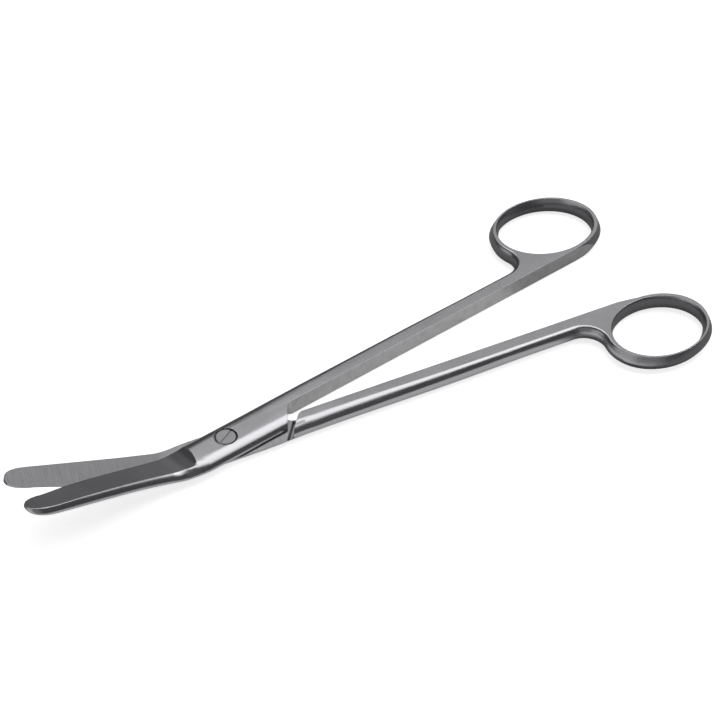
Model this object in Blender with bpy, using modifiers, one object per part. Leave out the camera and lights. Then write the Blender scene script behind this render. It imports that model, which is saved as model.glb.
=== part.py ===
"""Long surgical scissors with blunt blades angled on the flat.

Three pieces: an upper and a lower half, each forged in one with its blade, lap joint,
shank and finger ring, and the slotted screw that holds them together.
Both halves come from one pattern. In a half's own frame the pivot axis is Z, the shank
runs along +X, the finger ring stands out on +Y and the lap faces down. The lower half
is the same pattern turned over about X, with its blade bent the other way.
All sizes are in metres.
"""
import math
from dataclasses import dataclass

import bmesh
import bpy
from mathutils import Matrix, Vector

# Whole instrument
THICKNESS = 0.0048            # shanks, rings and the closed joint
OPENING_DEG = 11.73           # angle between the two shanks as modelled
LAP_GAP = 0.00036             # between the two lap faces, and between the blades
FLAT_GAP = 0.0003             # between the inner flats of the closed shanks

# Blade, measured along its own inner face from the bend
BEND_FROM_PIVOT = 0.0165
BEND_LENGTH = 0.005
BEND_DEG = 17.8
BLADE_LENGTH = 0.04345
TIP_LENGTH = 0.0067           # the stretch over which the blunt tip rounds off
TIP_POWER = 2.4               # 2 is an ellipse, more is squarer
BLADE_ROOT = 0.020            # from the pivot, where the blade starts to widen
SPINE_REACH = 0.0044          # from the middle line to the back of the blade
SPINE_TIP_REACH = 0.0042
EDGE_REACH = 0.0050           # from the middle line to the cutting edge
EDGE_TIP_REACH = 0.0034
WEDGE_DEG = 11.7              # slope of the ground outer face down to the cutting edge
EDGE_LAND = 0.0003            # thickness left at the cutting edge
GRIND_TRACE = 0.00015         # a shallower cut than this leaves no crease to follow
WHEEL_RADIUS = 0.0021         # run-out of the grinding wheel at the blade's root
GRIND_START = 0.012           # from the pivot, where the ground face starts to run out

# Lap joint
UPPER_BOX_RING_SIDE = 0.0052  # the box's half widths, on the ring's side and the other
UPPER_BOX_FAR_SIDE = 0.0062
LOWER_BOX_RING_SIDE = 0.0062
LOWER_BOX_FAR_SIDE = 0.0051
BOX_ROUND = 0.0033            # sideways width of the rounded box edges
BOX_BLADE_END = 0.008         # the box keeps its full width up to here, before the pivot
SHOULDER_APEX = 0.0208        # the shoulder wall's reach along the inner flat
UPPER_SHOULDER_GAP = 0.0009   # from the upper box's end to the lower half's shoulder
LOWER_SHOULDER_GAP = 0.0022   # from the lower box's end to the upper half's shoulder
SHOULDER_SLANT = 0.75         # how far the walls lean back towards the pivot, per width
SHOULDER_CORNER = 0.003
BOX_CORNER = 0.0025
RELIEF_RADIUS = 0.0008        # round groove at the foot of the shoulder wall

# Shank
SHANK_ROOT_WIDTH = 0.0053
SHANK_MID_WIDTH = 0.0051
SHANK_NECK_WIDTH = 0.0048
LOWER_SHANK_EXTRA = 0.0004    # the lower half's shank is this much stouter
SHANK_MID = 0.062
SHANK_NECK = 0.088
SHANK_ROOT_ROUND = 0.0032
SHANK_NECK_ROUND = 0.0019
GROUND_AWAY = 0.0012          # forging left on the inner side before its flat is ground

# Finger ring, its opening measured at mid height where it is narrowest
RING_FROM_PIVOT = 0.1236
RING_OFFSET = 0.0133          # centre of the opening, out from the inner flat
UPPER_RING_HALF_LENGTH = 0.0143
UPPER_RING_HALF_WIDTH = 0.0116
LOWER_RING_HALF_LENGTH = 0.0135
LOWER_RING_HALF_WIDTH = 0.0108
RING_TILT_DEG = -9.7
RIM_END_WIDTH = 0.00285       # of the rim, at its ends along the shank
RIM_SIDE_WIDTH = 0.0024       # of the rim, on its outer side
RIM_SWELL = 1.2               # 1 gives the rim's sides a straight slope, 2 a parabola
RIM_ROUND = 0.00105           # sideways width of the rim's swelling outer side
ROOT_ROUND = 0.0013           # the same where the rim grows out of the notch
OPENING_RIM_ROUND = 0.001     # the same on the rim's inner side
OPENING_WEB_ROUND = 0.0005    # and on the side of the opening next to the shank
NOTCH_RADIUS = 0.0055
LOWER_RING_THINNING = 0.0004  # taken off the lower half's underside towards its ring

# Pivot screw
SCREW_HEAD_RADIUS = 0.00285
SCREW_HEAD_DEPTH = 0.0011
SCREW_RADIUS = 0.0016
SCREW_EDGE = 0.0003          # broken edge of the head and of the end
SCREW_CLEARANCE = 0.00025     # in the upper half, which turns on the screw
SCREW_THREAD_GAP = 0.0003     # in the lower half, where the thread's depth is left out
SLOT_WIDTH = 0.00045
SLOT_DEPTH = 0.0005
SLOT_DIRECTION_DEG = 28.4

# Fineness of the surfaces
SIDE_STEPS = 6                # faces on each quarter of a rounded side
TOP_POINTS = 4                # points across the flat of a section
OPENING_STEPS = 4
RING_STEPS = 72
CORNER_STEPS = 8
ROUND_STEPS = 48

# How far a cutter reaches past what it cuts
OVERCUT = 0.001
BLANK_DEPTH = 0.001           # forging left under the blade's inner face before grinding

MID_HEIGHT = THICKNESS / 2
LAP_HEIGHT = MID_HEIGHT + LAP_GAP / 2
FLAT_OFFSET = FLAT_GAP / 2
RING_TILT = math.radians(RING_TILT_DEG)
TIP_START = -BEND_FROM_PIVOT - BLADE_LENGTH + TIP_LENGTH
TIP_END = -BEND_FROM_PIVOT - BLADE_LENGTH
SCREW_SEAT = THICKNESS - SCREW_HEAD_DEPTH - SCREW_CLEARANCE


@dataclass
class Half:
    """Where the two halves differ; everything else is the same pattern."""
    bend: float
    box_ring_side: float
    box_far_side: float
    box_end: float
    shank_extra: float
    ring_half_length: float
    ring_half_width: float
    ring_thinning: float

    @property
    def join(self):
        """Where the shank's sections end and the outline of the finger ring begins."""
        ring_start = RING_FROM_PIVOT - self.ring_half_length - RIM_END_WIDTH - NOTCH_RADIUS
        return SHANK_NECK + (ring_start - SHANK_NECK) * 0.7

    @property
    def reach(self):
        shank = SHANK_ROOT_WIDTH + self.shank_extra
        return max(self.box_ring_side, self.box_far_side, shank) + OVERCUT


UPPER = Half(
    bend=math.radians(BEND_DEG),
    box_ring_side=UPPER_BOX_RING_SIDE,
    box_far_side=UPPER_BOX_FAR_SIDE,
    box_end=SHOULDER_APEX - UPPER_SHOULDER_GAP,
    shank_extra=0.0,
    ring_half_length=UPPER_RING_HALF_LENGTH,
    ring_half_width=UPPER_RING_HALF_WIDTH,
    ring_thinning=0.0)
LOWER = Half(
    bend=-math.radians(BEND_DEG),
    box_ring_side=LOWER_BOX_RING_SIDE,
    box_far_side=LOWER_BOX_FAR_SIDE,
    box_end=SHOULDER_APEX - LOWER_SHOULDER_GAP,
    shank_extra=LOWER_SHANK_EXTRA,
    ring_half_length=LOWER_RING_HALF_LENGTH,
    ring_half_width=LOWER_RING_HALF_WIDTH,
    ring_thinning=LOWER_RING_THINNING)


# Small helpers

def smooth_through(points, x):
    """Value at x on a smooth curve through points, a list of (x, value)."""
    if x <= points[0][0]:
        return points[0][1]
    if x >= points[-1][0]:
        return points[-1][1]
    for i in range(len(points) - 1):
        if points[i][0] <= x <= points[i + 1][0]:
            break
    x0, y0 = points[i]
    x1, y1 = points[i + 1]
    slope = (y1 - y0) / (x1 - x0)
    before = (y0 - points[i - 1][1]) / (x0 - points[i - 1][0]) if i > 0 else 0.0
    after = (points[i + 2][1] - y1) / (points[i + 2][0] - x1) if i + 2 < len(points) else 0.0
    start = (before + slope) / 2 if before * slope > 0 else 0.0
    end = (slope + after) / 2 if after * slope > 0 else 0.0
    t = (x - x0) / (x1 - x0)
    h = x1 - x0
    return (y0 * (1 + 2 * t) * (1 - t) ** 2 + start * h * t * (1 - t) ** 2
            + y1 * t * t * (3 - 2 * t) + end * h * t * t * (t - 1))


def spread(start, stop, count):
    """count values from start to stop, both included."""
    return [start + (stop - start) * i / (count - 1) for i in range(count)]


def steel(name, color, roughness):
    material = bpy.data.materials.new(name)
    material.use_nodes = True
    shader = material.node_tree.nodes["Principled BSDF"]
    shader.inputs["Base Color"].default_value = (*color, 1.0)
    shader.inputs["Metallic"].default_value = 1.0
    shader.inputs["Roughness"].default_value = roughness
    return material


def add_object(name, bm, collection, material=None):
    mesh = bpy.data.meshes.new(name)
    bm.to_mesh(mesh)
    bm.free()
    obj = bpy.data.objects.new(name, mesh)
    collection.objects.link(obj)
    if material:
        mesh.materials.append(material)
    return obj


def cut(obj, cutter, name):
    """Take the cutter's volume out of obj, and let the cutter move with it."""
    cutter.parent = obj
    cutter.hide_render = True
    cutter.display_type = "WIRE"
    boolean = obj.modifiers.new(name, "BOOLEAN")
    boolean.operation = "DIFFERENCE"
    boolean.solver = "EXACT"
    boolean.object = cutter


# Outline of a half, as functions of the distance x along the shank

def edge_line(half, x):
    """Outer edge on the +Y side: cutting edge, box side, outer side of the shank."""
    return smooth_through([
        (TIP_START, EDGE_TIP_REACH),
        (TIP_START + TIP_LENGTH, EDGE_REACH - (EDGE_REACH - EDGE_TIP_REACH) * 0.45),
        (-BLADE_ROOT, EDGE_REACH),
        (-BOX_BLADE_END, half.box_ring_side),
        (BOX_BLADE_END, half.box_ring_side),
        (SHOULDER_APEX, SHANK_ROOT_WIDTH + half.shank_extra),
        (SHANK_MID, SHANK_MID_WIDTH + half.shank_extra),
        (SHANK_NECK, SHANK_NECK_WIDTH + half.shank_extra)], x)


def spine_line(half, x):
    """Outer edge on the -Y side: spine, box side, then forging that is ground away."""
    return -smooth_through([
        (TIP_START, SPINE_TIP_REACH),
        (-BLADE_ROOT, SPINE_REACH),
        (-BOX_BLADE_END, half.box_far_side),
        (SHOULDER_APEX, half.box_far_side),
        (SHOULDER_APEX + half.box_far_side, GROUND_AWAY)], x)


def tip_share(x):
    """Share of the blade's width that is left at x in the blunt tip."""
    if x >= TIP_START:
        return 1.0
    t = min(1.0, (TIP_START - x) / TIP_LENGTH)
    return (1 - t ** TIP_POWER) ** (1 / TIP_POWER)


def edge_round(x):
    """Sideways width of the rounding on the +Y side."""
    return smooth_through([
        (BOX_BLADE_END, BOX_ROUND),
        (SHOULDER_APEX, SHANK_ROOT_ROUND),
        (SHANK_NECK, SHANK_NECK_ROUND)], x)


def spine_round(half, x):
    """Sideways width of the rounding on the -Y side."""
    return smooth_through([
        (SHOULDER_APEX, BOX_ROUND),
        (SHOULDER_APEX + half.box_far_side, GROUND_AWAY / 2)], x)


def outer_face(half, x):
    """Height of the flat outer face of box and shank."""
    return THICKNESS - smooth_through([(SHANK_MID, 0.0), (half.join, half.ring_thinning)], x)


def ground_face(half, x, y):
    """Height of the blade's ground outer face, which runs out at the box in an arc."""
    run_out = x + GRIND_START
    if run_out >= WHEEL_RADIUS:
        return THICKNESS
    rise = 0.0
    if run_out > 0:
        rise = WHEEL_RADIUS - math.sqrt(WHEEL_RADIUS ** 2 - run_out ** 2)
    slope = math.tan(math.radians(WEDGE_DEG))
    return LAP_HEIGHT + EDGE_LAND + slope * (edge_line(half, x) - y) + rise


def crease(half, y):
    """Where the grinding's run-out meets the flat of the box, at y across it."""
    missing = THICKNESS - ground_face(half, -GRIND_START, y)
    missing = min(max(missing, GRIND_TRACE), WHEEL_RADIUS)
    return -GRIND_START + math.sqrt(WHEEL_RADIUS ** 2 - (WHEEL_RADIUS - missing) ** 2)


def follow_crease(half, x, y):
    """Shift a station in the run-out so that the stations run along the crease."""
    middle = crease(half, 0.0)
    if -GRIND_START < x <= middle:
        share = (x + GRIND_START) / (middle + GRIND_START)
    elif middle < x < -BOX_BLADE_END:
        share = (x + BOX_BLADE_END) / (middle + BOX_BLADE_END)
    else:
        return x
    return x + share * (crease(half, y) - middle)


def across(half, x, side, value):
    """Y of a section's point, from its angle on a rounded side or its share of the top."""
    low, high = spine_line(half, x) * tip_share(x), edge_line(half, x) * tip_share(x)
    low_round = min(spine_round(half, x), (high - low) * 0.45)
    high_round = min(edge_round(x), (high - low) * 0.45)
    if side == "spine":
        return low + low_round * (1 - math.cos(value))
    if side == "edge":
        return high - high_round * (1 - math.cos(value))
    return (low + low_round) * (1 - value) + (high - high_round) * value


def side_angles(half, x, side):
    """Angles of the points up a rounded side, one of them where the ground face meets it."""
    angles = spread(-math.pi / 2, math.pi / 2, 2 * SIDE_STEPS + 1)
    low, high = 0.0, math.pi / 2
    for _ in range(30):
        middle = (low + high) / 2
        y = across(half, x, side, middle)
        if MID_HEIGHT * (1 + math.sin(middle)) > ground_face(half, x, y):
            high = middle
        else:
            low = middle
    nearest = min(range(SIDE_STEPS + 1, 2 * SIDE_STEPS), key=lambda i: abs(angles[i] - high))
    if high < math.pi / 2 - 0.01:
        angles[nearest] = high
    return angles


def bend(point, angle):
    """Place a point of the straight blank on the bent blade."""
    x, y, z = point
    along = -x - BEND_FROM_PIVOT + BEND_LENGTH / 2
    if along <= 0:
        return Vector((x, y, z))
    radius = BEND_LENGTH / angle
    turned = min(along, BEND_LENGTH) / radius
    height = z - LAP_HEIGHT
    straight = max(0.0, along - BEND_LENGTH)
    out_x = -(BEND_FROM_PIVOT - BEND_LENGTH / 2) - (radius - height) * math.sin(turned)
    out_z = LAP_HEIGHT + radius - (radius - height) * math.cos(turned)
    return Vector((out_x - straight * math.cos(turned), y, out_z + straight * math.sin(turned)))


# The forged blank of a half

def section(half, x):
    """Points around the blank at x: up the -Y side, across the top, down the +Y side."""
    depth = smooth_through([(-BOX_BLADE_END, BLANK_DEPTH), (-BOX_BLADE_END / 2, MID_HEIGHT)], x)
    rise = outer_face(half, x) - MID_HEIGHT
    places = [("spine", angle) for angle in side_angles(half, x, "spine")]
    places += [("top", share) for share in spread(0, 1, TOP_POINTS + 2)[1:-1]]
    places += [("edge", angle) for angle in reversed(side_angles(half, x, "edge"))]
    points = []
    for side, value in places:
        station = follow_crease(half, x, across(half, x, side, value))
        y = across(half, station, side, value)
        level = math.pi / 2 if side == "top" else value
        z = MID_HEIGHT + (rise if level > 0 else depth) * math.sin(level)
        if level > 0:
            z = min(z, ground_face(half, station, y))
        points.append((station, y, z))
    return points


def stations(half):
    """Places along X of the blank's sections, from the tip to the finger ring."""
    bend_start = -BEND_FROM_PIVOT - BEND_LENGTH / 2
    bend_end = -BEND_FROM_PIVOT + BEND_LENGTH / 2
    shares = [0.999, 0.985, 0.955, 0.91, 0.85, 0.76, 0.64, 0.48, 0.28, 0.0]
    places = [TIP_START - TIP_LENGTH * share for share in shares]
    places += spread(TIP_START, bend_start, 10)[1:-1]
    places += spread(bend_start, bend_end, 9)
    places += spread(bend_end, -GRIND_START, 4)[1:]
    run_out = crease(half, 0.0) + GRIND_START
    places += [-GRIND_START + run_out * math.sin(turn) for turn in spread(0, math.pi / 2, 7)[1:]]
    places += spread(crease(half, 0.0), -BOX_BLADE_END, 4)[1:]
    places += spread(-BOX_BLADE_END, SHOULDER_APEX, 8)[1:]
    places += spread(SHOULDER_APEX, SHOULDER_APEX + half.box_far_side, 4)[1:]
    places += spread(SHOULDER_APEX + half.box_far_side, half.join, 14)[1:]
    return places


def on_ellipse(half_length, half_width, angle):
    """Point at angle on an ellipse about the centre of the finger ring."""
    turned = Matrix.Rotation(RING_TILT, 2) @ Vector((
        half_length * math.cos(angle), half_width * math.sin(angle)))
    return turned + Vector((RING_FROM_PIVOT, RING_OFFSET))


def on_opening(half, angle, offset):
    return on_ellipse(half.ring_half_length + offset, half.ring_half_width + offset, angle)


def on_rim(half, angle):
    length = half.ring_half_length + RIM_END_WIDTH
    return on_ellipse(length, half.ring_half_width + RIM_SIDE_WIDTH, angle)


def rim_low_angle(half):
    """Angle of the rim's lowest point, where it runs into the inner side."""
    length = half.ring_half_length + RIM_END_WIDTH
    width = half.ring_half_width + RIM_SIDE_WIDTH
    return math.atan2(width * math.cos(RING_TILT), length * math.sin(RING_TILT)) - math.pi


def notch(half):
    """Centre of the notch's round and the rim's angle where it ends."""
    height = edge_line(half, half.join) + NOTCH_RADIUS
    angles = spread(math.pi / 2, 1.5 * math.pi, 361)
    rim = [on_rim(half, angle) for angle in angles]
    near, far = half.join, RING_FROM_PIVOT
    for _ in range(40):
        middle = (near + far) / 2
        if min((point - Vector((middle, height))).length for point in rim) > NOTCH_RADIUS:
            near = middle
        else:
            far = middle
    centre = Vector((near, height))
    nearest = min(range(len(rim)), key=lambda i: (rim[i] - centre).length)
    return centre, angles[nearest]


def side_depth(level, slope):
    """How far in from its widest line a side lies, from round at slope 0 to forged at 1."""
    forged = abs(math.sin(level)) ** RIM_SWELL
    return (1 - math.cos(level)) * (1 - slope) + forged * slope


def handle_outline(half):
    """Outline of web and rim from the shank's outer side round to its inner side.

    Each entry is the outline point, the direction into the metal, the sideways width of
    the rounding and its slope.
    """
    entries = []
    centre, ring_start = notch(half)
    for x in spread(half.join, centre.x, 5)[1:-1]:
        point = Vector((x, centre.y - NOTCH_RADIUS))
        entries.append((point, Vector((0, -1)), edge_round(x), 0.0))
    meeting = on_rim(half, ring_start) - centre
    turn = math.atan2(meeting.y, meeting.x)
    for step, angle in enumerate(spread(-math.pi / 2, turn, CORNER_STEPS + 1)):
        out = Vector((math.cos(angle), math.sin(angle)))
        rounding = SHANK_NECK_ROUND + (ROOT_ROUND - SHANK_NECK_ROUND) * step / CORNER_STEPS
        entries.append((centre + out * NOTCH_RADIUS, out, rounding, 0.0))
    for angle in spread(ring_start, rim_low_angle(half), RING_STEPS)[1:]:
        tangent = on_rim(half, angle + 0.001) - on_rim(half, angle - 0.001)
        inward = Vector((-tangent.y, tangent.x)).normalized()
        fade = max(0.0, 1 - (ring_start - angle)) ** 2
        rounding = RIM_ROUND + (ROOT_ROUND - RIM_ROUND) * fade
        entries.append((on_rim(half, angle), inward, rounding, 1 - fade))
    last = entries[-1][0]
    for x in spread(last.x, half.join, 10)[1:-1]:
        share = (x - half.join) / (last.x - half.join)
        rounding = GROUND_AWAY / 2 + (RIM_ROUND - GROUND_AWAY / 2) * share ** 3
        height = -GROUND_AWAY + (last.y + GROUND_AWAY) * share ** 3
        entries.append((Vector((x, height)), Vector((0, 1)), rounding, share))
    return entries


def strip(bm, first, second):
    """Faces between two rows of vertices."""
    for i in range(len(first) - 1):
        bm.faces.new((first[i], first[i + 1], second[i + 1], second[i]))


def fill_flat(bm, loop, hole, up):
    """Flat face between an outer loop of vertices and the opening's loop."""
    edges = []
    for ring in (loop, hole):
        for i, vert in enumerate(ring):
            other = ring[(i + 1) % len(ring)]
            edges.append(bm.edges.get((vert, other)) or bm.edges.new((vert, other)))
    bmesh.ops.triangle_fill(bm, edges=edges, use_beauty=True, use_dissolve=False, normal=up)


def forged_blank(half):
    """The whole forging of a half, before the lap and the inner flat are ground."""
    bm = bmesh.new()
    rows = []
    for x in stations(half):
        row = [bm.verts.new(bend(point, half.bend)) for point in section(half, x)]
        if rows:
            strip(bm, rows[-1] + rows[-1][:1], row + row[:1])
        rows.append(row)
    bm.faces.new(rows[0])

    def level_height(level):
        rise = outer_face(half, half.join) - MID_HEIGHT if level > 0 else MID_HEIGHT
        return MID_HEIGHT + rise * math.sin(level)

    levels = spread(-math.pi / 2, math.pi / 2, 2 * SIDE_STEPS + 1)
    end = rows[-1]
    columns = [end[:-len(levels) - 1:-1]]
    for point, inward, rounding, slope in handle_outline(half):
        column = []
        for level in levels:
            place = point + inward * rounding * side_depth(level, slope)
            column.append(bm.verts.new((place.x, place.y, level_height(level))))
        strip(bm, columns[-1], column)
        columns.append(column)
    strip(bm, columns[-1], end[:len(levels)])
    columns.append(end[:len(levels)])

    walls = []
    for angle in spread(0, 2 * math.pi, RING_STEPS + 1)[:-1]:
        share = (1 + math.sin(angle)) / 2
        rounding = OPENING_WEB_ROUND + (OPENING_RIM_ROUND - OPENING_WEB_ROUND) * share
        wall = []
        for level in spread(-math.pi / 2, math.pi / 2, 2 * OPENING_STEPS + 1):
            place = on_opening(half, angle, rounding * side_depth(level, share))
            wall.append(bm.verts.new((place.x, place.y, level_height(level))))
        if walls:
            strip(bm, walls[-1], wall)
        walls.append(wall)
    strip(bm, walls[-1], walls[0])

    across = end[len(levels):-len(levels)]
    fill_flat(bm, [c[-1] for c in columns] + across, [w[-1] for w in walls], Vector((0, 0, 1)))
    fill_flat(bm, [c[0] for c in columns], [w[0] for w in walls], Vector((0, 0, -1)))
    bmesh.ops.recalc_face_normals(bm, faces=bm.faces)
    return bm


# What is ground away from the blank

def round_corner(before, corner, after, radius):
    """Points of an arc that rounds a corner of an outline."""
    to_before = (before - corner).normalized()
    to_after = (after - corner).normalized()
    half = to_before.angle(to_after) / 2
    start = corner + to_before * radius / math.tan(half)
    end = corner + to_after * radius / math.tan(half)
    centre = corner + (to_before + to_after).normalized() * radius / math.sin(half)
    first = math.atan2(start.y - centre.y, start.x - centre.x)
    turn = math.atan2(end.y - centre.y, end.x - centre.x) - first
    turn = (turn + math.pi) % (2 * math.pi) - math.pi
    return [centre + Vector((math.cos(first + turn * s), math.sin(first + turn * s))) * radius
            for s in spread(0, 1, CORNER_STEPS + 1)]


def prism(outline, bottom, top):
    """A bmesh of an upright prism on an outline of plan points."""
    bm = bmesh.new()
    face = bm.faces.new([bm.verts.new((point.x, point.y, bottom)) for point in outline])
    bmesh.ops.extrude_face_region(bm, geom=[face])
    bm.verts.ensure_lookup_table()
    for vert in bm.verts[len(outline):]:
        vert.co.z = top
    bmesh.ops.recalc_face_normals(bm, faces=bm.faces)
    return bm


def flat_cutter(half, collection):
    """Grinds the inner flat of shank and ring, and the slanted end of the box."""
    wall_end = Vector((half.box_end - SHOULDER_SLANT * half.reach, -half.reach))
    corner = Vector((half.box_end, FLAT_OFFSET))
    ring_end = RING_FROM_PIVOT + half.ring_half_length + RIM_END_WIDTH
    far_end = Vector((ring_end + OVERCUT, FLAT_OFFSET))
    outline = [wall_end]
    outline += round_corner(wall_end, corner, far_end, BOX_CORNER)
    outline += [far_end, Vector((far_end.x, -half.reach))]
    return add_object("inner_flat_cutter", prism(outline, -OVERCUT, THICKNESS + OVERCUT), collection)


def lap_cutter(half, collection):
    """Grinds the lap, up to the slanted shoulder, and the blade's inner face."""
    reach = half.reach
    start = -BOX_BLADE_END
    bend_end = -BEND_FROM_PIVOT + BEND_LENGTH / 2
    wall_end = Vector((SHOULDER_APEX - SHOULDER_SLANT * reach, reach))
    corner = Vector((SHOULDER_APEX, FLAT_OFFSET - OVERCUT / 10))
    flat_end = Vector((SHOULDER_APEX + 2 * SHOULDER_CORNER, corner.y))
    outline = [Vector((start, -reach)), Vector((start, reach)), wall_end]
    outline += round_corner(wall_end, corner, flat_end, SHOULDER_CORNER)
    outline.append(Vector((outline[-1].x, -reach)))

    bm = bmesh.new()
    bottom = [bm.verts.new((point.x, point.y, -OVERCUT)) for point in outline]
    top = [bm.verts.new((point.x, point.y, LAP_HEIGHT)) for point in outline]
    bm.faces.new(bottom)
    bm.faces.new(top)
    strip(bm, bottom[1:] + bottom[:1], top[1:] + top[:1])
    previous = [bottom[0], bottom[1], top[1], top[0]]
    for x in spread(bend_end, bend_end - BEND_LENGTH, 9) + [TIP_END - OVERCUT]:
        corners = [(-reach, -OVERCUT), (reach, -OVERCUT), (reach, LAP_HEIGHT), (-reach, LAP_HEIGHT)]
        row = [bm.verts.new(bend((x, y, z), half.bend)) for y, z in corners]
        strip(bm, previous + previous[:1], row + row[:1])
        previous = row
    bm.faces.new(previous)
    bmesh.ops.recalc_face_normals(bm, faces=bm.faces)
    return add_object("lap_cutter", bm, collection)


def relief_cutter(half, collection):
    """Round groove along the foot of the shoulder wall."""
    bm = bmesh.new()
    length = 2 * half.reach
    bmesh.ops.create_cone(bm, cap_ends=True, segments=ROUND_STEPS // 2, radius1=RELIEF_RADIUS,
                          radius2=RELIEF_RADIUS, depth=length)
    along = Vector((-SHOULDER_SLANT, 1, 0)).normalized()
    foot = Vector((SHOULDER_APEX - RELIEF_RADIUS, 0, LAP_HEIGHT))
    centre = foot + along * (length / 2 + RELIEF_RADIUS)
    turn = Vector((0, 0, 1)).rotation_difference(along).to_matrix().to_4x4()
    bmesh.ops.transform(bm, matrix=Matrix.Translation(centre) @ turn, verts=bm.verts)
    return add_object("relief_cutter", bm, collection)


def round_cutter(name, radius, bottom, top, collection):
    bm = bmesh.new()
    bmesh.ops.create_cone(bm, cap_ends=True, segments=ROUND_STEPS, radius1=radius,
                          radius2=radius, depth=top - bottom)
    bmesh.ops.translate(bm, verts=bm.verts, vec=(0, 0, (bottom + top) / 2))
    return add_object(name, bm, collection)


# The pieces

def make_half(name, half, collection, cutters, material):
    piece = add_object(name, forged_blank(half), collection, material)
    piece.data.shade_smooth()
    piece.data.set_sharp_from_angle(angle=math.radians(30))
    cut(piece, lap_cutter(half, cutters), "lap")
    cut(piece, flat_cutter(half, cutters), "inner_flat")
    cut(piece, relief_cutter(half, cutters), "relief")
    return piece


def make_upper_half(collection, cutters, material):
    half = make_half("upper_half", UPPER, collection, cutters, material)
    head_hole = round_cutter("head_cutter", SCREW_HEAD_RADIUS + SCREW_CLEARANCE,
                             SCREW_SEAT, THICKNESS + OVERCUT, cutters)
    cut(half, head_hole, "head_hole")
    shaft_hole = round_cutter("shaft_cutter", SCREW_RADIUS + SCREW_CLEARANCE,
                              -OVERCUT, THICKNESS + OVERCUT, cutters)
    cut(half, shaft_hole, "shaft_hole")
    half.rotation_euler = (0, 0, math.radians(OPENING_DEG / 2))
    return half


def make_lower_half(collection, cutters, material):
    half = make_half("lower_half", LOWER, collection, cutters, material)
    thread_hole = round_cutter("thread_cutter", SCREW_RADIUS + SCREW_THREAD_GAP,
                               -OVERCUT, THICKNESS + OVERCUT, cutters)
    cut(half, thread_hole, "thread_hole")
    half.location = (0, 0, THICKNESS)
    half.rotation_euler = (math.pi, 0, -math.radians(OPENING_DEG / 2))
    return half


def make_screw(collection, cutters, material):
    """Turned profile from the head's middle down its outer side to the end."""
    profile = [
        (0, THICKNESS),
        (SCREW_HEAD_RADIUS - SCREW_EDGE, THICKNESS),
        (SCREW_HEAD_RADIUS, THICKNESS - SCREW_EDGE),
        (SCREW_HEAD_RADIUS, THICKNESS - SCREW_HEAD_DEPTH),
        (SCREW_RADIUS, THICKNESS - SCREW_HEAD_DEPTH),
        (SCREW_RADIUS, SCREW_EDGE),
        (SCREW_RADIUS - SCREW_EDGE, 0),
        (0, 0)]
    bm = bmesh.new()
    verts = [bm.verts.new((radius, 0, height)) for radius, height in profile]
    for first, second in zip(verts, verts[1:]):
        bm.edges.new((first, second))
    screw = add_object("pivot_screw", bm, collection, material)
    turned = screw.modifiers.new("turned", "SCREW")
    turned.angle = 2 * math.pi
    turned.steps = ROUND_STEPS
    turned.render_steps = ROUND_STEPS
    turned.use_merge_vertices = True
    turned.merge_threshold = 0.00001
    bm = bmesh.new()
    bmesh.ops.create_cube(bm, size=1)
    size = (3 * SCREW_HEAD_RADIUS, SLOT_WIDTH, 2 * SLOT_DEPTH)
    bmesh.ops.scale(bm, verts=bm.verts, vec=size)
    slot = add_object("slot_cutter", bm, cutters)
    slot.location = (0, 0, THICKNESS)
    slot.rotation_euler = (0, 0, math.radians(SLOT_DIRECTION_DEG))
    cut(screw, slot, "slot")
    return screw


def main():
    for obj in list(bpy.data.objects):
        bpy.data.objects.remove(obj)
    collection = bpy.data.collections.new("suture_scissors")
    cutters = bpy.data.collections.new("cutters")
    bpy.context.scene.collection.children.link(collection)
    bpy.context.scene.collection.children.link(cutters)
    satin = steel("satin_stainless_steel", (0.42, 0.42, 0.41), 0.3)
    turned = steel("turned_stainless_steel", (0.38, 0.38, 0.37), 0.35)
    pivot = bpy.data.objects.new("pivot_axis", None)
    collection.objects.link(pivot)
    pieces = [
        make_upper_half(collection, cutters, satin),
        make_lower_half(collection, cutters, satin),
        make_screw(collection, cutters, turned)]
    for piece in pieces:
        piece.parent = pivot


main()
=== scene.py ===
"""Suture scissors: steel finishes, studio floor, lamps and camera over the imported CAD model."""

import math

import bmesh
import bpy
from bpy.props import FloatProperty, PointerProperty, StringProperty
from mathutils import Matrix, Quaternion, Vector


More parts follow.
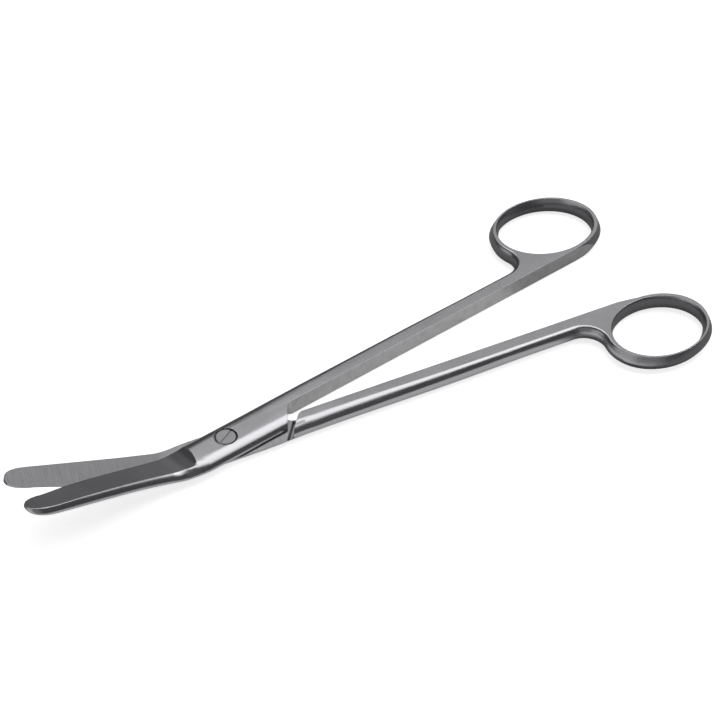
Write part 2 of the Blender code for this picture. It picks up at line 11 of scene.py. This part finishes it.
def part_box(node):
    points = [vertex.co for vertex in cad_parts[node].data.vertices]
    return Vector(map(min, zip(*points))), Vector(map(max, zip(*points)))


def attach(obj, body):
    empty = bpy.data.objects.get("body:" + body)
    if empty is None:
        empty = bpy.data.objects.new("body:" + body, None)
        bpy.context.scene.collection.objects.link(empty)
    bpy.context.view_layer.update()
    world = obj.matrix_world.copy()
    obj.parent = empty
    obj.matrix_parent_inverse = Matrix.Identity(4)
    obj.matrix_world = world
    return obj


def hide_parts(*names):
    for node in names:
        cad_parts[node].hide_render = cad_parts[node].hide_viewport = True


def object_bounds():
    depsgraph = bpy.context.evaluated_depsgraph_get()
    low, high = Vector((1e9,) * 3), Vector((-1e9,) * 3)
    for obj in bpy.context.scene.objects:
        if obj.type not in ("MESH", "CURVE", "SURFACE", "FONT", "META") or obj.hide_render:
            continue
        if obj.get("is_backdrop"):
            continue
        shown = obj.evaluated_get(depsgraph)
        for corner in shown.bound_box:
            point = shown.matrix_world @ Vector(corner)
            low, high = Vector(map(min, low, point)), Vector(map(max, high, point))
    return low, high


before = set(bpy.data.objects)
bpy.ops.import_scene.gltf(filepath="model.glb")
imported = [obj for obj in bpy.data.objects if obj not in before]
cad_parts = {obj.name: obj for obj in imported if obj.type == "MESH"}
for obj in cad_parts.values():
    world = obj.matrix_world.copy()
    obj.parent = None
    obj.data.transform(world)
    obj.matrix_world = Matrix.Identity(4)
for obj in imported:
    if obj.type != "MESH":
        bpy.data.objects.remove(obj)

bl_info = {
    "name": "Suture scissors",
    "version": (1, 0, 0),
    "blender": (4, 5, 0),
    "location": "3D View > Sidebar > Scissors",
    "description": "Finishes and studio for a pair of suture scissors",
    "category": "Object",
}

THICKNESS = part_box("pivot_screw")[1][2]    # of box and shank: the screw's head is flush with them
LAP_LENGTH = 0.0208              # from the pivot to the shoulders that end the lapped flats
NEAR_SHOULDER = 1.1 * LAP_LENGTH  # the long edges of the inner sides start before this
BLADE_START = -0.0125            # where the blades' ground outer faces have left the box
MERGE_DISTANCE = 1e-6            # corners closer than this are one
FLAT_ANGLE = math.radians(0.3)   # triangles that bend less than this are one flat
INNER_SIDE_AREA = 4e-5           # the flat inner side of shank and ring is larger than this
LONG_EDGE = 0.005                # an inner side's edges over this length get the chamfer
GRIND_SLANT = math.radians(8)    # of the grinding lines from straight across the blade
SHADING_WEIGHT = 60              # how far large faces rule the shading of small ones

FLOOR_DROP = 0.00002             # keeps the floor just clear of the underside
PAINTED_POOL_END_FADE = 0.004            # half the width over which the painted light pool's end fades
PAINTED_POOL_EDGE_FADE = 0.003           # the same for its far edge
MIRRORED_OUTSIDE_PAINTED_POOL = 0.1      # share of the floor's glow mirrored beyond the painted light pool
SOFTBOX_DISTANCE = 3.0           # from the middle of the object
PHOTO_SIDE = 720                 # pixels of the square picture

# Lamps: degrees to the right of the line of sight and above the floor, width and height in
# metres, roll in degrees, share of the softbox strength
LAMPS = {
    "back softbox": (30, 67, 4.4, 1.75, 10, 1.0),
    "rim light": (2, 28, 1.2, 0.25, 0, 0.5),
    "edge light": (62, 52, 1.4, 0.4, 0, 1.0),
}

# Lit parts of the room's walls: degrees to the right and above the floor, cosines of the angles
# to that direction where the light ends and where it is whole, share of the light.
# They lie over the set, on its left, and behind the camera.
LIT_WALLS = (
    (30, 31, 0.72, 1.0, 1.0),
    (-125, 15, 0.72, 0.95, 1.0),
    (-175, 30, 0.66, 0.92, 0.35),
)


class SteelSizes(bpy.types.PropertyGroup):
    edge_softness: FloatProperty(
        name="Edge softness", description="Radius that polishing leaves on the sharp edges",
        default=0.00015, min=0.00002, max=0.001, precision=5, unit="LENGTH")
    inner_edge: FloatProperty(
        name="Inner edge", description="Width of the chamfer along the shanks' inner sides",
        default=0.00025, min=0.00002, max=0.001, precision=5, unit="LENGTH")
    inner_edge_depth: FloatProperty(
        name="Inner edge depth", description="How far down the inner sides that chamfer goes",
        default=0.00004, min=0.00001, max=0.001, precision=5, unit="LENGTH")
    spine_edge: FloatProperty(
        name="Spine edge", description="Width of the rounding along the blades' backs",
        default=0.0008, min=0.00002, max=0.001, precision=5, unit="LENGTH")
    sharp_angle: FloatProperty(
        name="Sharp angle", description="Faces that meet at more than this keep a crisp edge",
        default=math.radians(35), subtype="ANGLE")
    polish_spacing: FloatProperty(
        name="Polish spacing", description="Distance between the polishing wheel's fine lines",
        default=0.0004, min=0.0001, max=0.002, precision=5, unit="LENGTH")
    grind_spacing: FloatProperty(
        name="Grind spacing", description="Distance between the grinding lines on the inner flats",
        default=0.0005, min=0.0001, max=0.002, precision=5, unit="LENGTH")
    scuff_size: FloatProperty(
        name="Scuff size", description="Size of the dull scuffs on the faces that rub",
        default=0.0022, min=0.0005, max=0.01, precision=5, unit="LENGTH")
    polished_roughness: FloatProperty(
        name="Polished roughness", description="Roughness of the satin outer surfaces",
        default=0.23, min=0, max=1, subtype="FACTOR")
    ground_roughness: FloatProperty(
        name="Ground roughness", description="Roughness of the ground flats",
        default=0.4, min=0, max=1, subtype="FACTOR")


class SteelColours(bpy.types.PropertyGroup):
    polished: StringProperty(
        name="Satin steel", description="Colour of the satin outer surfaces", default="ACACAE")
    ground: StringProperty(
        name="Ground steel", description="Colour of the ground flats", default="9D9D9E")
    matt: StringProperty(
        name="Matt steel", description="Colour of the blasted inner sides", default="CECECE")
    scuffed: StringProperty(
        name="Scuffed steel", description="Colour of the dull scuffs", default="7C7C7D")
    turned: StringProperty(
        name="Turned steel", description="Colour of the screw", default="98989A")


class StudioSetup(bpy.types.PropertyGroup):
    floor_side: FloatProperty(
        name="Floor side", description="Side of the square floor", default=12.0, unit="LENGTH")
    view_elevation: FloatProperty(
        name="View elevation", description="How far the camera looks down",
        default=math.radians(42.3), subtype="ANGLE")
    view_azimuth: FloatProperty(
        name="View azimuth", description="Turn of the camera's line of sight from +Y towards +X",
        default=math.radians(32.54), subtype="ANGLE")
    view_depth: FloatProperty(
        name="View depth", description="Distance from the camera to the pivot along its line",
        default=0.4804, unit="LENGTH")
    focal_pixels: FloatProperty(
        name="Focal length in pixels", description="Focal length times picture side over film",
        default=1868.8)
    pivot_column: FloatProperty(
        name="Pivot column", description="Picture column of the pivot's top", default=225.7)
    pivot_row: FloatProperty(
        name="Pivot row", description="Picture row of the pivot's top", default=436.4)
    floor_glow: FloatProperty(
        name="Floor glow", description="Share of the floor's white that no shadow darkens",
        default=0.71, min=0, max=1, subtype="FACTOR")
    floor_mirrored: FloatProperty(
        name="Floor mirrored", description="Share of the floor's glow that the steel mirrors",
        default=0.38, min=0, max=1, subtype="FACTOR")
    # The reach of a painted pool of light on the floor, which only the steel mirrors
    painted_pool_end: FloatProperty(
        name="Pool end", description="How far towards the rings the floor's light pool reaches",
        default=0.1, unit="LENGTH")
    painted_pool_edge: FloatProperty(
        name="Pool edge", description="How far behind the object the light pool reaches",
        default=0.013, unit="LENGTH")
    floor_colour: StringProperty(
        name="Floor colour", description="Colour of the paper floor", default="F2F2F2")
    # Painted shade: the grey that glossy rays see on the paper beyond the painted pool
    painted_shade_colour: StringProperty(
        name="Mirrored floor colour", description="Grey that steel mirrors beyond the light pool",
        default="848485")
    room_colour: StringProperty(
        name="Room colour", description="Colour of the dim room round the set", default="575759")
    wall_colour: StringProperty(
        name="Wall colour", description="Colour of the lit parts of the walls", default="CFCFD1")
    softbox_strength: FloatProperty(
        name="Softbox strength", description="Brightness of the softboxes, 1 being white",
        default=1.9, min=0)


def linear(colour):
    """Linear RGBA of an sRGB hex colour."""
    values = []
    for start in (0, 2, 4):
        level = int(colour[start:start + 2], 16) / 255
        values.append(level / 12.92 if level <= 0.04045 else ((level + 0.055) / 1.055) ** 2.4)
    return (*values, 1.0)


def add_node(tree, kind, inputs=None, **settings):
    """Adds a node with its settings; an input is a value or the socket it is linked to."""
    node = tree.nodes.new(kind)
    for name, value in settings.items():
        setattr(node, name, value)
    for key, value in (inputs or {}).items():
        if isinstance(value, bpy.types.NodeSocket):
            tree.links.new(value, node.inputs[key])
        else:
            node.inputs[key].default_value = value
    return node


def new_material(name):
    """An empty material and its node tree."""
    material = bpy.data.materials.new(name)
    material.use_nodes = True
    material.node_tree.nodes.clear()
    return material, material.node_tree


def new_piece(bm, name, materials, body, node):
    """Makes an object of bm that rides on body in place of node."""
    mesh = bpy.data.meshes.new(name)
    bm.to_mesh(mesh)
    bm.free()
    piece = bpy.data.objects.new(name, mesh)
    bpy.context.scene.collection.objects.link(piece)
    for material in materials:
        mesh.materials.append(material)
    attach(piece, body)
    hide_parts(node)
    return piece


def satin_polished_steel(name, along):
    """Stainless steel ground, then satin polished along its length.

    The polish blurs reflections softly and leaves faint lines; softened edges catch the light.
    """
    sizes, colours = bpy.context.scene.steel_sizes, bpy.context.scene.steel_colours
    material, tree = new_material(name)
    place = add_node(tree, "ShaderNodeTexCoord")
    turned = add_node(tree, "ShaderNodeMapping", vector_type="TEXTURE", inputs={
        "Vector": place.outputs["Object"], "Rotation": (0, 0, along)})
    stretched = add_node(tree, "ShaderNodeMapping", inputs={
        "Vector": turned.outputs["Vector"], "Scale": (0.04, 1, 0.25)})
    lines = add_node(tree, "ShaderNodeTexNoise", inputs={
        "Vector": stretched.outputs["Vector"], "Scale": 1 / sizes.polish_spacing,
        "Detail": 3, "Roughness": 0.6})
    clouds = add_node(tree, "ShaderNodeTexNoise", inputs={
        "Vector": place.outputs["Object"], "Scale": 1 / (4 * sizes.scuff_size), "Detail": 4})
    rough = add_node(tree, "ShaderNodeMapRange", inputs={
        "Value": clouds.outputs["Fac"], "From Min": 0.3, "From Max": 0.7,
        "To Min": sizes.polished_roughness - 0.02, "To Max": sizes.polished_roughness + 0.03})
    soft = add_node(tree, "ShaderNodeBevel", samples=6, inputs={"Radius": sizes.edge_softness})
    bump = add_node(tree, "ShaderNodeBump", inputs={
        "Height": lines.outputs["Fac"], "Strength": 0.02, "Distance": 0.00001,
        "Normal": soft.outputs["Normal"]})
    steel = add_node(tree, "ShaderNodeBsdfPrincipled", inputs={
        "Base Color": linear(colours.polished), "Metallic": 1.0,
        "Roughness": rough.outputs["Result"], "Normal": bump.outputs["Normal"]})
    add_node(tree, "ShaderNodeOutputMaterial", inputs={"Surface": steel.outputs["BSDF"]})
    return material


def ground_steel(name, along):
    """Stainless steel from the surface grinder, as on the flats between the halves.

    Fine lines run across the blade, some of them darker, and rubbing has left faint scuffs.
    """
    sizes, colours = bpy.context.scene.steel_sizes, bpy.context.scene.steel_colours
    material, tree = new_material(name)
    place = add_node(tree, "ShaderNodeTexCoord")
    turned = add_node(tree, "ShaderNodeMapping", vector_type="TEXTURE", inputs={
        "Vector": place.outputs["Object"], "Rotation": (0, 0, along)})
    stretched = add_node(tree, "ShaderNodeMapping", inputs={
        "Vector": turned.outputs["Vector"], "Scale": (1, 0.05, 1)})
    lines = add_node(tree, "ShaderNodeTexNoise", inputs={
        "Vector": stretched.outputs["Vector"], "Scale": 1 / sizes.grind_spacing,
        "Detail": 4, "Roughness": 0.7})
    scuffs = add_node(tree, "ShaderNodeTexNoise", inputs={
        "Vector": place.outputs["Object"], "Scale": 1 / sizes.scuff_size, "Detail": 5,
        "Roughness": 0.6, "Distortion": 0.6})
    scuffed = add_node(tree, "ShaderNodeMapRange", inputs={
        "Value": scuffs.outputs["Fac"], "From Min": 0.52, "From Max": 0.7,
        "To Min": 0.0, "To Max": 0.12})
    lined = add_node(tree, "ShaderNodeMapRange", inputs={
        "Value": lines.outputs["Fac"], "From Min": 0.4, "From Max": 0.65,
        "To Min": 0.0, "To Max": 0.35})
    worn = add_node(tree, "ShaderNodeMath", operation="ADD", inputs={
        0: scuffed.outputs["Result"], 1: lined.outputs["Result"]})
    tint = add_node(tree, "ShaderNodeMix", data_type="RGBA", inputs={
        "Factor": worn.outputs["Value"]})
    tint.inputs[6].default_value = linear(colours.ground)
    tint.inputs[7].default_value = linear(colours.scuffed)
    rough = add_node(tree, "ShaderNodeMapRange", inputs={
        "Value": lines.outputs["Fac"], "From Min": 0.3, "From Max": 0.7,
        "To Min": sizes.ground_roughness - 0.06, "To Max": sizes.ground_roughness + 0.06})
    soft = add_node(tree, "ShaderNodeBevel", samples=6, inputs={"Radius": sizes.edge_softness})
    bump = add_node(tree, "ShaderNodeBump", inputs={
        "Height": lines.outputs["Fac"], "Strength": 0.35, "Distance": 0.00003,
        "Normal": soft.outputs["Normal"]})
    steel = add_node(tree, "ShaderNodeBsdfPrincipled", inputs={
        "Base Color": tint.outputs[2], "Metallic": 1.0,
        "Roughness": rough.outputs["Result"], "Normal": bump.outputs["Normal"]})
    add_node(tree, "ShaderNodeOutputMaterial", inputs={"Surface": steel.outputs["BSDF"]})
    return material


def matt_steel(name):
    """Stainless steel left matt by blasting, with dull blotches from handling."""
    sizes, colours = bpy.context.scene.steel_sizes, bpy.context.scene.steel_colours
    material, tree = new_material(name)
    place = add_node(tree, "ShaderNodeTexCoord")
    blotches = add_node(tree, "ShaderNodeTexNoise", inputs={
        "Vector": place.outputs["Object"], "Scale": 1 / sizes.scuff_size, "Detail": 6,
        "Roughness": 0.65})
    dulled = add_node(tree, "ShaderNodeMapRange", inputs={
        "Value": blotches.outputs["Fac"], "From Min": 0.45, "From Max": 0.75,
        "To Min": 0.0, "To Max": 0.3})
    tint = add_node(tree, "ShaderNodeMix", data_type="RGBA", inputs={
        "Factor": dulled.outputs["Result"]})
    tint.inputs[6].default_value = linear(colours.matt)
    tint.inputs[7].default_value = linear(colours.scuffed)
    grain = add_node(tree, "ShaderNodeTexNoise", inputs={
        "Vector": place.outputs["Object"], "Scale": 1 / sizes.polish_spacing, "Detail": 3})
    bump = add_node(tree, "ShaderNodeBump", inputs={
        "Height": grain.outputs["Fac"], "Strength": 0.2, "Distance": 0.00002})
    steel = add_node(tree, "ShaderNodeBsdfPrincipled", inputs={
        "Base Color": tint.outputs[2], "Metallic": 0.4, "Roughness": 0.5,
        "Normal": bump.outputs["Normal"]})
    add_node(tree, "ShaderNodeOutputMaterial", inputs={"Surface": steel.outputs["BSDF"]})
    return material


def turned_steel(name):
    """Stainless steel turned on a lathe, whose tool leaves fine rings round the pivot."""
    sizes, colours = bpy.context.scene.steel_sizes, bpy.context.scene.steel_colours
    material, tree = new_material(name)
    place = add_node(tree, "ShaderNodeTexCoord")
    rings = add_node(tree, "ShaderNodeTexWave", wave_type="RINGS", rings_direction="Z", inputs={
        "Vector": place.outputs["Object"], "Scale": 0.3 / sizes.polish_spacing,
        "Distortion": 0.4, "Detail": 2})
    soft = add_node(tree, "ShaderNodeBevel", samples=6, inputs={"Radius": sizes.edge_softness})
    bump = add_node(tree, "ShaderNodeBump", inputs={
        "Height": rings.outputs["Fac"], "Strength": 0.15, "Distance": 0.00002,
        "Normal": soft.outputs["Normal"]})
    steel = add_node(tree, "ShaderNodeBsdfPrincipled", inputs={
        "Base Color": linear(colours.turned), "Metallic": 1.0, "Roughness": 0.28,
        "Normal": bump.outputs["Normal"]})
    add_node(tree, "ShaderNodeOutputMaterial", inputs={"Surface": steel.outputs["BSDF"]})
    return material


def merged_solid(node):
    """A bmesh of a CAD node's solid, its loose triangles merged and its flats made whole."""
    sizes = bpy.context.scene.steel_sizes
    bm = bmesh.new()
    bm.from_mesh(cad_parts[node].data)
    bmesh.ops.remove_doubles(bm, verts=bm.verts, dist=MERGE_DISTANCE)
    bmesh.ops.dissolve_limit(bm, angle_limit=FLAT_ANGLE, verts=bm.verts, edges=bm.edges)
    for face in bm.faces:
        face.smooth = True
    for edge in bm.edges:
        edge.smooth = edge.calc_face_angle(0.0) < sizes.sharp_angle
    return bm


def is_inner_side(face):
    """Whether a face is the flat side of shank and ring that faces the other half."""
    return abs(face.normal.z) < 0.1 and face.calc_area() > INNER_SIDE_AREA


def cut_faces(bm, faces, place, normal):
    """Cuts faces of bm along a plane and returns the new edges."""
    parts = {part for face in faces for part in (*face.verts, *face.edges, face)}
    cut = bmesh.ops.bisect_plane(
        bm, geom=list(parts), dist=MERGE_DISTANCE, plane_co=place, plane_no=normal)
    return [part for part in cut["geom_cut"] if isinstance(part, bmesh.types.BMEdge)]


def side_edges(side):
    """The long edges between the inner side of shank and ring and the flats beside it."""
    return [edge for edge in side.edges if edge.calc_length() > LONG_EDGE
            and any(abs(face.normal.z) > 0.9 for face in edge.link_faces)]


def break_inner_edges(bm):
    """Takes a shallow chamfer off the long edges of the flat inner side of shank and ring.

    The flats are cut across just past the shoulder, so that the box's flat stays level.
    """
    sizes = bpy.context.scene.steel_sizes
    side = next(face for face in bm.faces if is_inner_side(face))
    inward, corner = side.normal.copy(), side.verts[0].co.copy()
    edge_starts = [min(vert.co.x for vert in edge.verts) for edge in side_edges(side)]
    start = max(place for place in edge_starts if place < NEAR_SHOULDER) + 2 * sizes.inner_edge
    flats = {face for edge in side_edges(side) for face in edge.link_faces if face is not side}
    cut_faces(bm, flats, (start, 0, 0), (1, 0, 0))
    flats = {face for edge in side_edges(side) for face in edge.link_faces
             if face is not side and face.calc_center_median().x > start}
    lowered = {vert: math.copysign(1, THICKNESS / 2 - vert.co.z)
               for edge in side_edges(side) for vert in edge.verts if vert.co.x > start - 1e-5}
    chamfered = cut_faces(bm, flats, corner - inward * sizes.inner_edge, inward)
    for vert, down in lowered.items():
        vert.co.z += down * sizes.inner_edge_depth
    for edge in (*chamfered, *side.edges):
        edge.smooth = False


def is_spine_edge(edge, outward):
    """Whether an edge runs between a blade's outer face and its spine or blunt tip."""
    if len(edge.link_faces) != 2 or edge.smooth:
        return False
    if max(vert.co.x for vert in edge.verts) > BLADE_START:
        return False
    face, side = sorted(edge.link_faces, key=lambda other: -other.normal.z * outward)
    return face.normal.z * outward > 0.6 and side.normal.y * outward < 0.3


def round_blade_edges(bm, outward):
    """Rounds a blade's outer face over into its spine and its blunt tip."""
    sizes = bpy.context.scene.steel_sizes
    edges = [edge for edge in bm.edges if is_spine_edge(edge, outward)]
    bmesh.ops.bevel(
        bm, geom=edges, offset=sizes.spine_edge, offset_type="OFFSET", segments=5,
        profile=0.5, affect="EDGES", clamp_overlap=True, material=-1)


def even_shading(piece):
    """Keeps the flats flat where they run into the roundings."""
    weighted = piece.modifiers.new("Weighted Normal", "WEIGHTED_NORMAL")
    weighted.keep_sharp = True
    weighted.weight = SHADING_WEIGHT


class MakeHalves(bpy.types.Operator):
    """Dress the two halves in satin steel, with ground steel on the flats that rub"""
    bl_idname = "scissors.halves"
    bl_label = "Steel halves"

    def execute(self, context):
        for half, blade_angle in (("upper", math.radians(-12)), ("lower", math.radians(-23.7))):
            node = f"{half}_half"
            bm = merged_solid(node)
            outward = 1 if half == "upper" else -1
            round_blade_edges(bm, outward)
            break_inner_edges(bm)
            for face in bm.faces:
                facing_mate = face.normal.z * outward < -0.9
                if facing_mate and face.calc_center_median().x < LAP_LENGTH:
                    face.material_index = 1
                elif is_inner_side(face):
                    face.material_index = 2
            finishes = [
                satin_polished_steel(f"satin polished steel, {half}", blade_angle),
                ground_steel(f"ground steel, {half}", blade_angle + GRIND_SLANT),
                matt_steel(f"matt steel, {half}")]
            piece = new_piece(
                bm, f"{half}_half_steel", finishes, half, node)
            even_shading(piece)
        return {"FINISHED"}


class MakeScrew(bpy.types.Operator):
    """Dress the slotted pivot screw in turned steel"""
    bl_idname = "scissors.screw"
    bl_label = "Pivot screw"

    def execute(self, context):
        piece = new_piece(
            merged_solid("pivot_screw"), "pivot_screw_steel", [turned_steel("turned steel")],
            "lower", "pivot_screw")
        even_shading(piece)
        return {"FINISHED"}


def paper_floor(setup):
    """Matt white paper with the object's shadow on it.

    Steel mirrors it as grey, which is painted shade, and as paler inside a painted pool of light
    that ends at the finger rings.
    """
    material, tree = new_material("matt white paper")
    path = add_node(tree, "ShaderNodeLightPath")
    place = add_node(tree, "ShaderNodeTexCoord")
    across = add_node(tree, "ShaderNodeSeparateXYZ", inputs={"Vector": place.outputs["Object"]})
    # pool and near mask a painted pool of light on the floor, and lit, their product, is that
    # painted pool; only glossy rays see it
    pool = add_node(tree, "ShaderNodeMapRange", interpolation_type="SMOOTHSTEP", inputs={
        "Value": across.outputs["X"], "From Min": setup.painted_pool_end - PAINTED_POOL_END_FADE,
        "From Max": setup.painted_pool_end + PAINTED_POOL_END_FADE, "To Min": 1.0, "To Max": 0.0})
    near = add_node(tree, "ShaderNodeMapRange", interpolation_type="SMOOTHSTEP", inputs={
        "Value": across.outputs["Y"], "From Min": setup.painted_pool_edge - PAINTED_POOL_EDGE_FADE,
        "From Max": setup.painted_pool_edge + PAINTED_POOL_EDGE_FADE, "To Min": 1.0, "To Max": 0.0})
    lit = add_node(tree, "ShaderNodeMath", operation="MULTIPLY", inputs={
        0: pool.outputs["Result"], 1: near.outputs["Result"]})
    # Beyond the painted pool, glossy rays see the paper in a painted shade of grey
    painted_shade_share = add_node(tree, "ShaderNodeMath", operation="SUBTRACT", inputs={
        0: path.outputs["Is Glossy Ray"], 1: lit.outputs["Value"]}, use_clamp=True)
    colour = add_node(tree, "ShaderNodeMix", data_type="RGBA", inputs={
        "Factor": painted_shade_share.outputs["Value"]})
    colour.inputs[6].default_value = linear(setup.floor_colour)
    colour.inputs[7].default_value = linear(setup.painted_shade_colour)
    # Inside the painted pool the steel mirrors more of the floor's glow, as painted light
    painted_pool_share = add_node(tree, "ShaderNodeMapRange", inputs={
        "Value": lit.outputs["Value"], "To Min": MIRRORED_OUTSIDE_PAINTED_POOL,
        "To Max": setup.floor_mirrored})
    mirrored = add_node(tree, "ShaderNodeMath", operation="MULTIPLY", inputs={
        0: path.outputs["Is Glossy Ray"], 1: painted_pool_share.outputs["Result"]})
    seen = add_node(tree, "ShaderNodeMath", operation="MAXIMUM", inputs={
        0: path.outputs["Is Camera Ray"], 1: mirrored.outputs["Value"]})
    shown = add_node(tree, "ShaderNodeMath", operation="MAXIMUM", inputs={
        0: seen.outputs["Value"], 1: path.outputs["Is Transmission Ray"]})
    share = add_node(tree, "ShaderNodeMath", operation="MULTIPLY", inputs={
        0: shown.outputs["Value"], 1: setup.floor_glow})
    paper = add_node(tree, "ShaderNodeBsdfDiffuse", inputs={"Color": colour.outputs[2]})
    white = add_node(tree, "ShaderNodeEmission", inputs={"Strength": share.outputs["Value"]})
    both = add_node(tree, "ShaderNodeAddShader", inputs={
        0: paper.outputs["BSDF"], 1: white.outputs["Emission"]})
    add_node(tree, "ShaderNodeOutputMaterial", inputs={"Surface": both.outputs["Shader"]})
    return material


def towards(azimuth, elevation):
    """Unit vector at azimuth from +Y towards +X and at elevation above the floor."""
    return Vector((
        math.sin(azimuth) * math.cos(elevation), math.cos(azimuth) * math.cos(elevation),
        math.sin(elevation)))


def seen_from_camera(setup, right_degrees, up_degrees):
    """Unit vector so many degrees to the right of the line of sight and above the floor."""
    return towards(setup.view_azimuth + math.radians(right_degrees), math.radians(up_degrees))


def dim_room(setup):
    """A dim grey room whose walls are lit in places, so that the steel has bands to mirror."""
    world = bpy.data.worlds.new("dim room")
    world.use_nodes = True
    tree = world.node_tree
    tree.nodes.clear()
    place = add_node(tree, "ShaderNodeTexCoord")
    lit = add_node(tree, "ShaderNodeValue")
    lit.outputs["Value"].default_value = 0.0
    for right, up, edge, full, light in LIT_WALLS:
        facing = add_node(tree, "ShaderNodeVectorMath", operation="DOT_PRODUCT", inputs={
            0: place.outputs["Generated"], 1: seen_from_camera(setup, right, up)})
        glow = add_node(tree, "ShaderNodeMapRange", interpolation_type="SMOOTHSTEP", inputs={
            "Value": facing.outputs["Value"], "From Min": edge, "From Max": full,
            "To Max": light})
        lit = add_node(tree, "ShaderNodeMath", operation="MAXIMUM", inputs={
            0: lit.outputs["Value"], 1: glow.outputs["Result"]})
    shade = add_node(tree, "ShaderNodeMix", data_type="RGBA", inputs={
        "Factor": lit.outputs["Value"]})
    shade.inputs[6].default_value = linear(setup.room_colour)
    shade.inputs[7].default_value = linear(setup.wall_colour)
    room = add_node(tree, "ShaderNodeBackground", inputs={"Color": shade.outputs[2]})
    add_node(tree, "ShaderNodeOutputWorld", inputs={"Surface": room.outputs["Background"]})
    return world


def add_softbox(name, target, direction, width, height, roll, strength):
    """An area lamp that faces target from direction, as bright as strength, 1 being white.

    Seen from the target, roll lowers its right end.
    """
    lamp = bpy.data.lights.new(name, "AREA")
    lamp.shape = "RECTANGLE"
    lamp.size = width
    lamp.size_y = height
    lamp.energy = strength * math.pi * width * height
    softbox = bpy.data.objects.new(name, lamp)
    softbox.location = target + direction * SOFTBOX_DISTANCE
    facing = direction.to_track_quat("Z", "Y") @ Quaternion((0, 0, 1), roll)
    softbox.rotation_euler = facing.to_euler()
    bpy.context.scene.collection.objects.link(softbox)


class MakeStage(bpy.types.Operator):
    """Add the floor, the softboxes, the dim room and the camera"""
    bl_idname = "scissors.stage"
    bl_label = "Studio"

    def execute(self, context):
        setup = context.scene.studio_setup
        low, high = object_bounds()
        centre = (Vector(low) + Vector(high)) / 2

        bm = bmesh.new()
        bmesh.ops.create_grid(bm, x_segments=1, y_segments=1, size=setup.floor_side / 2)
        bmesh.ops.translate(bm, verts=bm.verts, vec=(centre.x, centre.y, low[2] - FLOOR_DROP))
        mesh = bpy.data.meshes.new("floor")
        bm.to_mesh(mesh)
        bm.free()
        mesh.materials.append(paper_floor(setup))
        floor = bpy.data.objects.new("floor", mesh)
        context.scene.collection.objects.link(floor)
        floor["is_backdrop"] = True

        for name, (right, up, width, height, roll, share) in LAMPS.items():
            add_softbox(name, centre, seen_from_camera(setup, right, up), width, height,
                        math.radians(roll), setup.softbox_strength * share)
        context.scene.world = dim_room(setup)

        flat = towards(setup.view_azimuth, 0)
        right = Vector((flat.y, -flat.x, 0))
        forward = flat * math.cos(setup.view_elevation) - Vector((0, 0, 1)) * math.sin(
            setup.view_elevation)
        up = right.cross(forward)
        metres_per_pixel = setup.view_depth / setup.focal_pixels
        aside = (setup.pivot_column - PHOTO_SIDE / 2) * metres_per_pixel
        above = (PHOTO_SIDE / 2 - setup.pivot_row) * metres_per_pixel
        pivot_top = Vector((0, 0, THICKNESS))
        place = pivot_top - right * aside - up * above - forward * setup.view_depth
        camera = bpy.data.cameras.new("camera")
        camera.sensor_width = 36
        camera.lens = setup.focal_pixels / PHOTO_SIDE * camera.sensor_width
        camera.clip_start = 0.01
        viewer = bpy.data.objects.new("camera", camera)
        turn = Matrix((right, up, -forward)).transposed().to_4x4()
        viewer.matrix_world = Matrix.Translation(place) @ turn
        context.scene.collection.objects.link(viewer)
        context.scene.camera = viewer
        context.scene.view_settings.view_transform = "Standard"
        return {"FINISHED"}


class ScissorsPanel(bpy.types.Panel):
    """Sizes, colours and the operators that build the scissors and the studio"""
    bl_idname = "VIEW3D_PT_scissors"
    bl_label = "Suture scissors"
    bl_space_type = "VIEW_3D"
    bl_region_type = "UI"
    bl_category = "Scissors"

    def draw(self, context):
        for group in (context.scene.steel_sizes, context.scene.steel_colours,
                      context.scene.studio_setup):
            box = self.layout.box()
            for name in group.__annotations__:
                box.prop(group, name)
        for operator in (MakeHalves, MakeScrew, MakeStage):
            self.layout.operator(operator.bl_idname)


CLASSES = (
    SteelSizes, SteelColours, StudioSetup, MakeHalves, MakeScrew, MakeStage, ScissorsPanel)


def register():
    for cls in CLASSES:
        bpy.utils.register_class(cls)
    bpy.types.Scene.steel_sizes = PointerProperty(type=SteelSizes)
    bpy.types.Scene.steel_colours = PointerProperty(type=SteelColours)
    bpy.types.Scene.studio_setup = PointerProperty(type=StudioSetup)


def unregister():
    del bpy.types.Scene.studio_setup
    del bpy.types.Scene.steel_colours
    del bpy.types.Scene.steel_sizes
    for cls in reversed(CLASSES):
        bpy.utils.unregister_class(cls)


def main():
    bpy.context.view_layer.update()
    register()
    bpy.ops.scissors.halves()
    bpy.ops.scissors.screw()
    bpy.ops.scissors.stage()


if __name__ == "__main__":
    main()
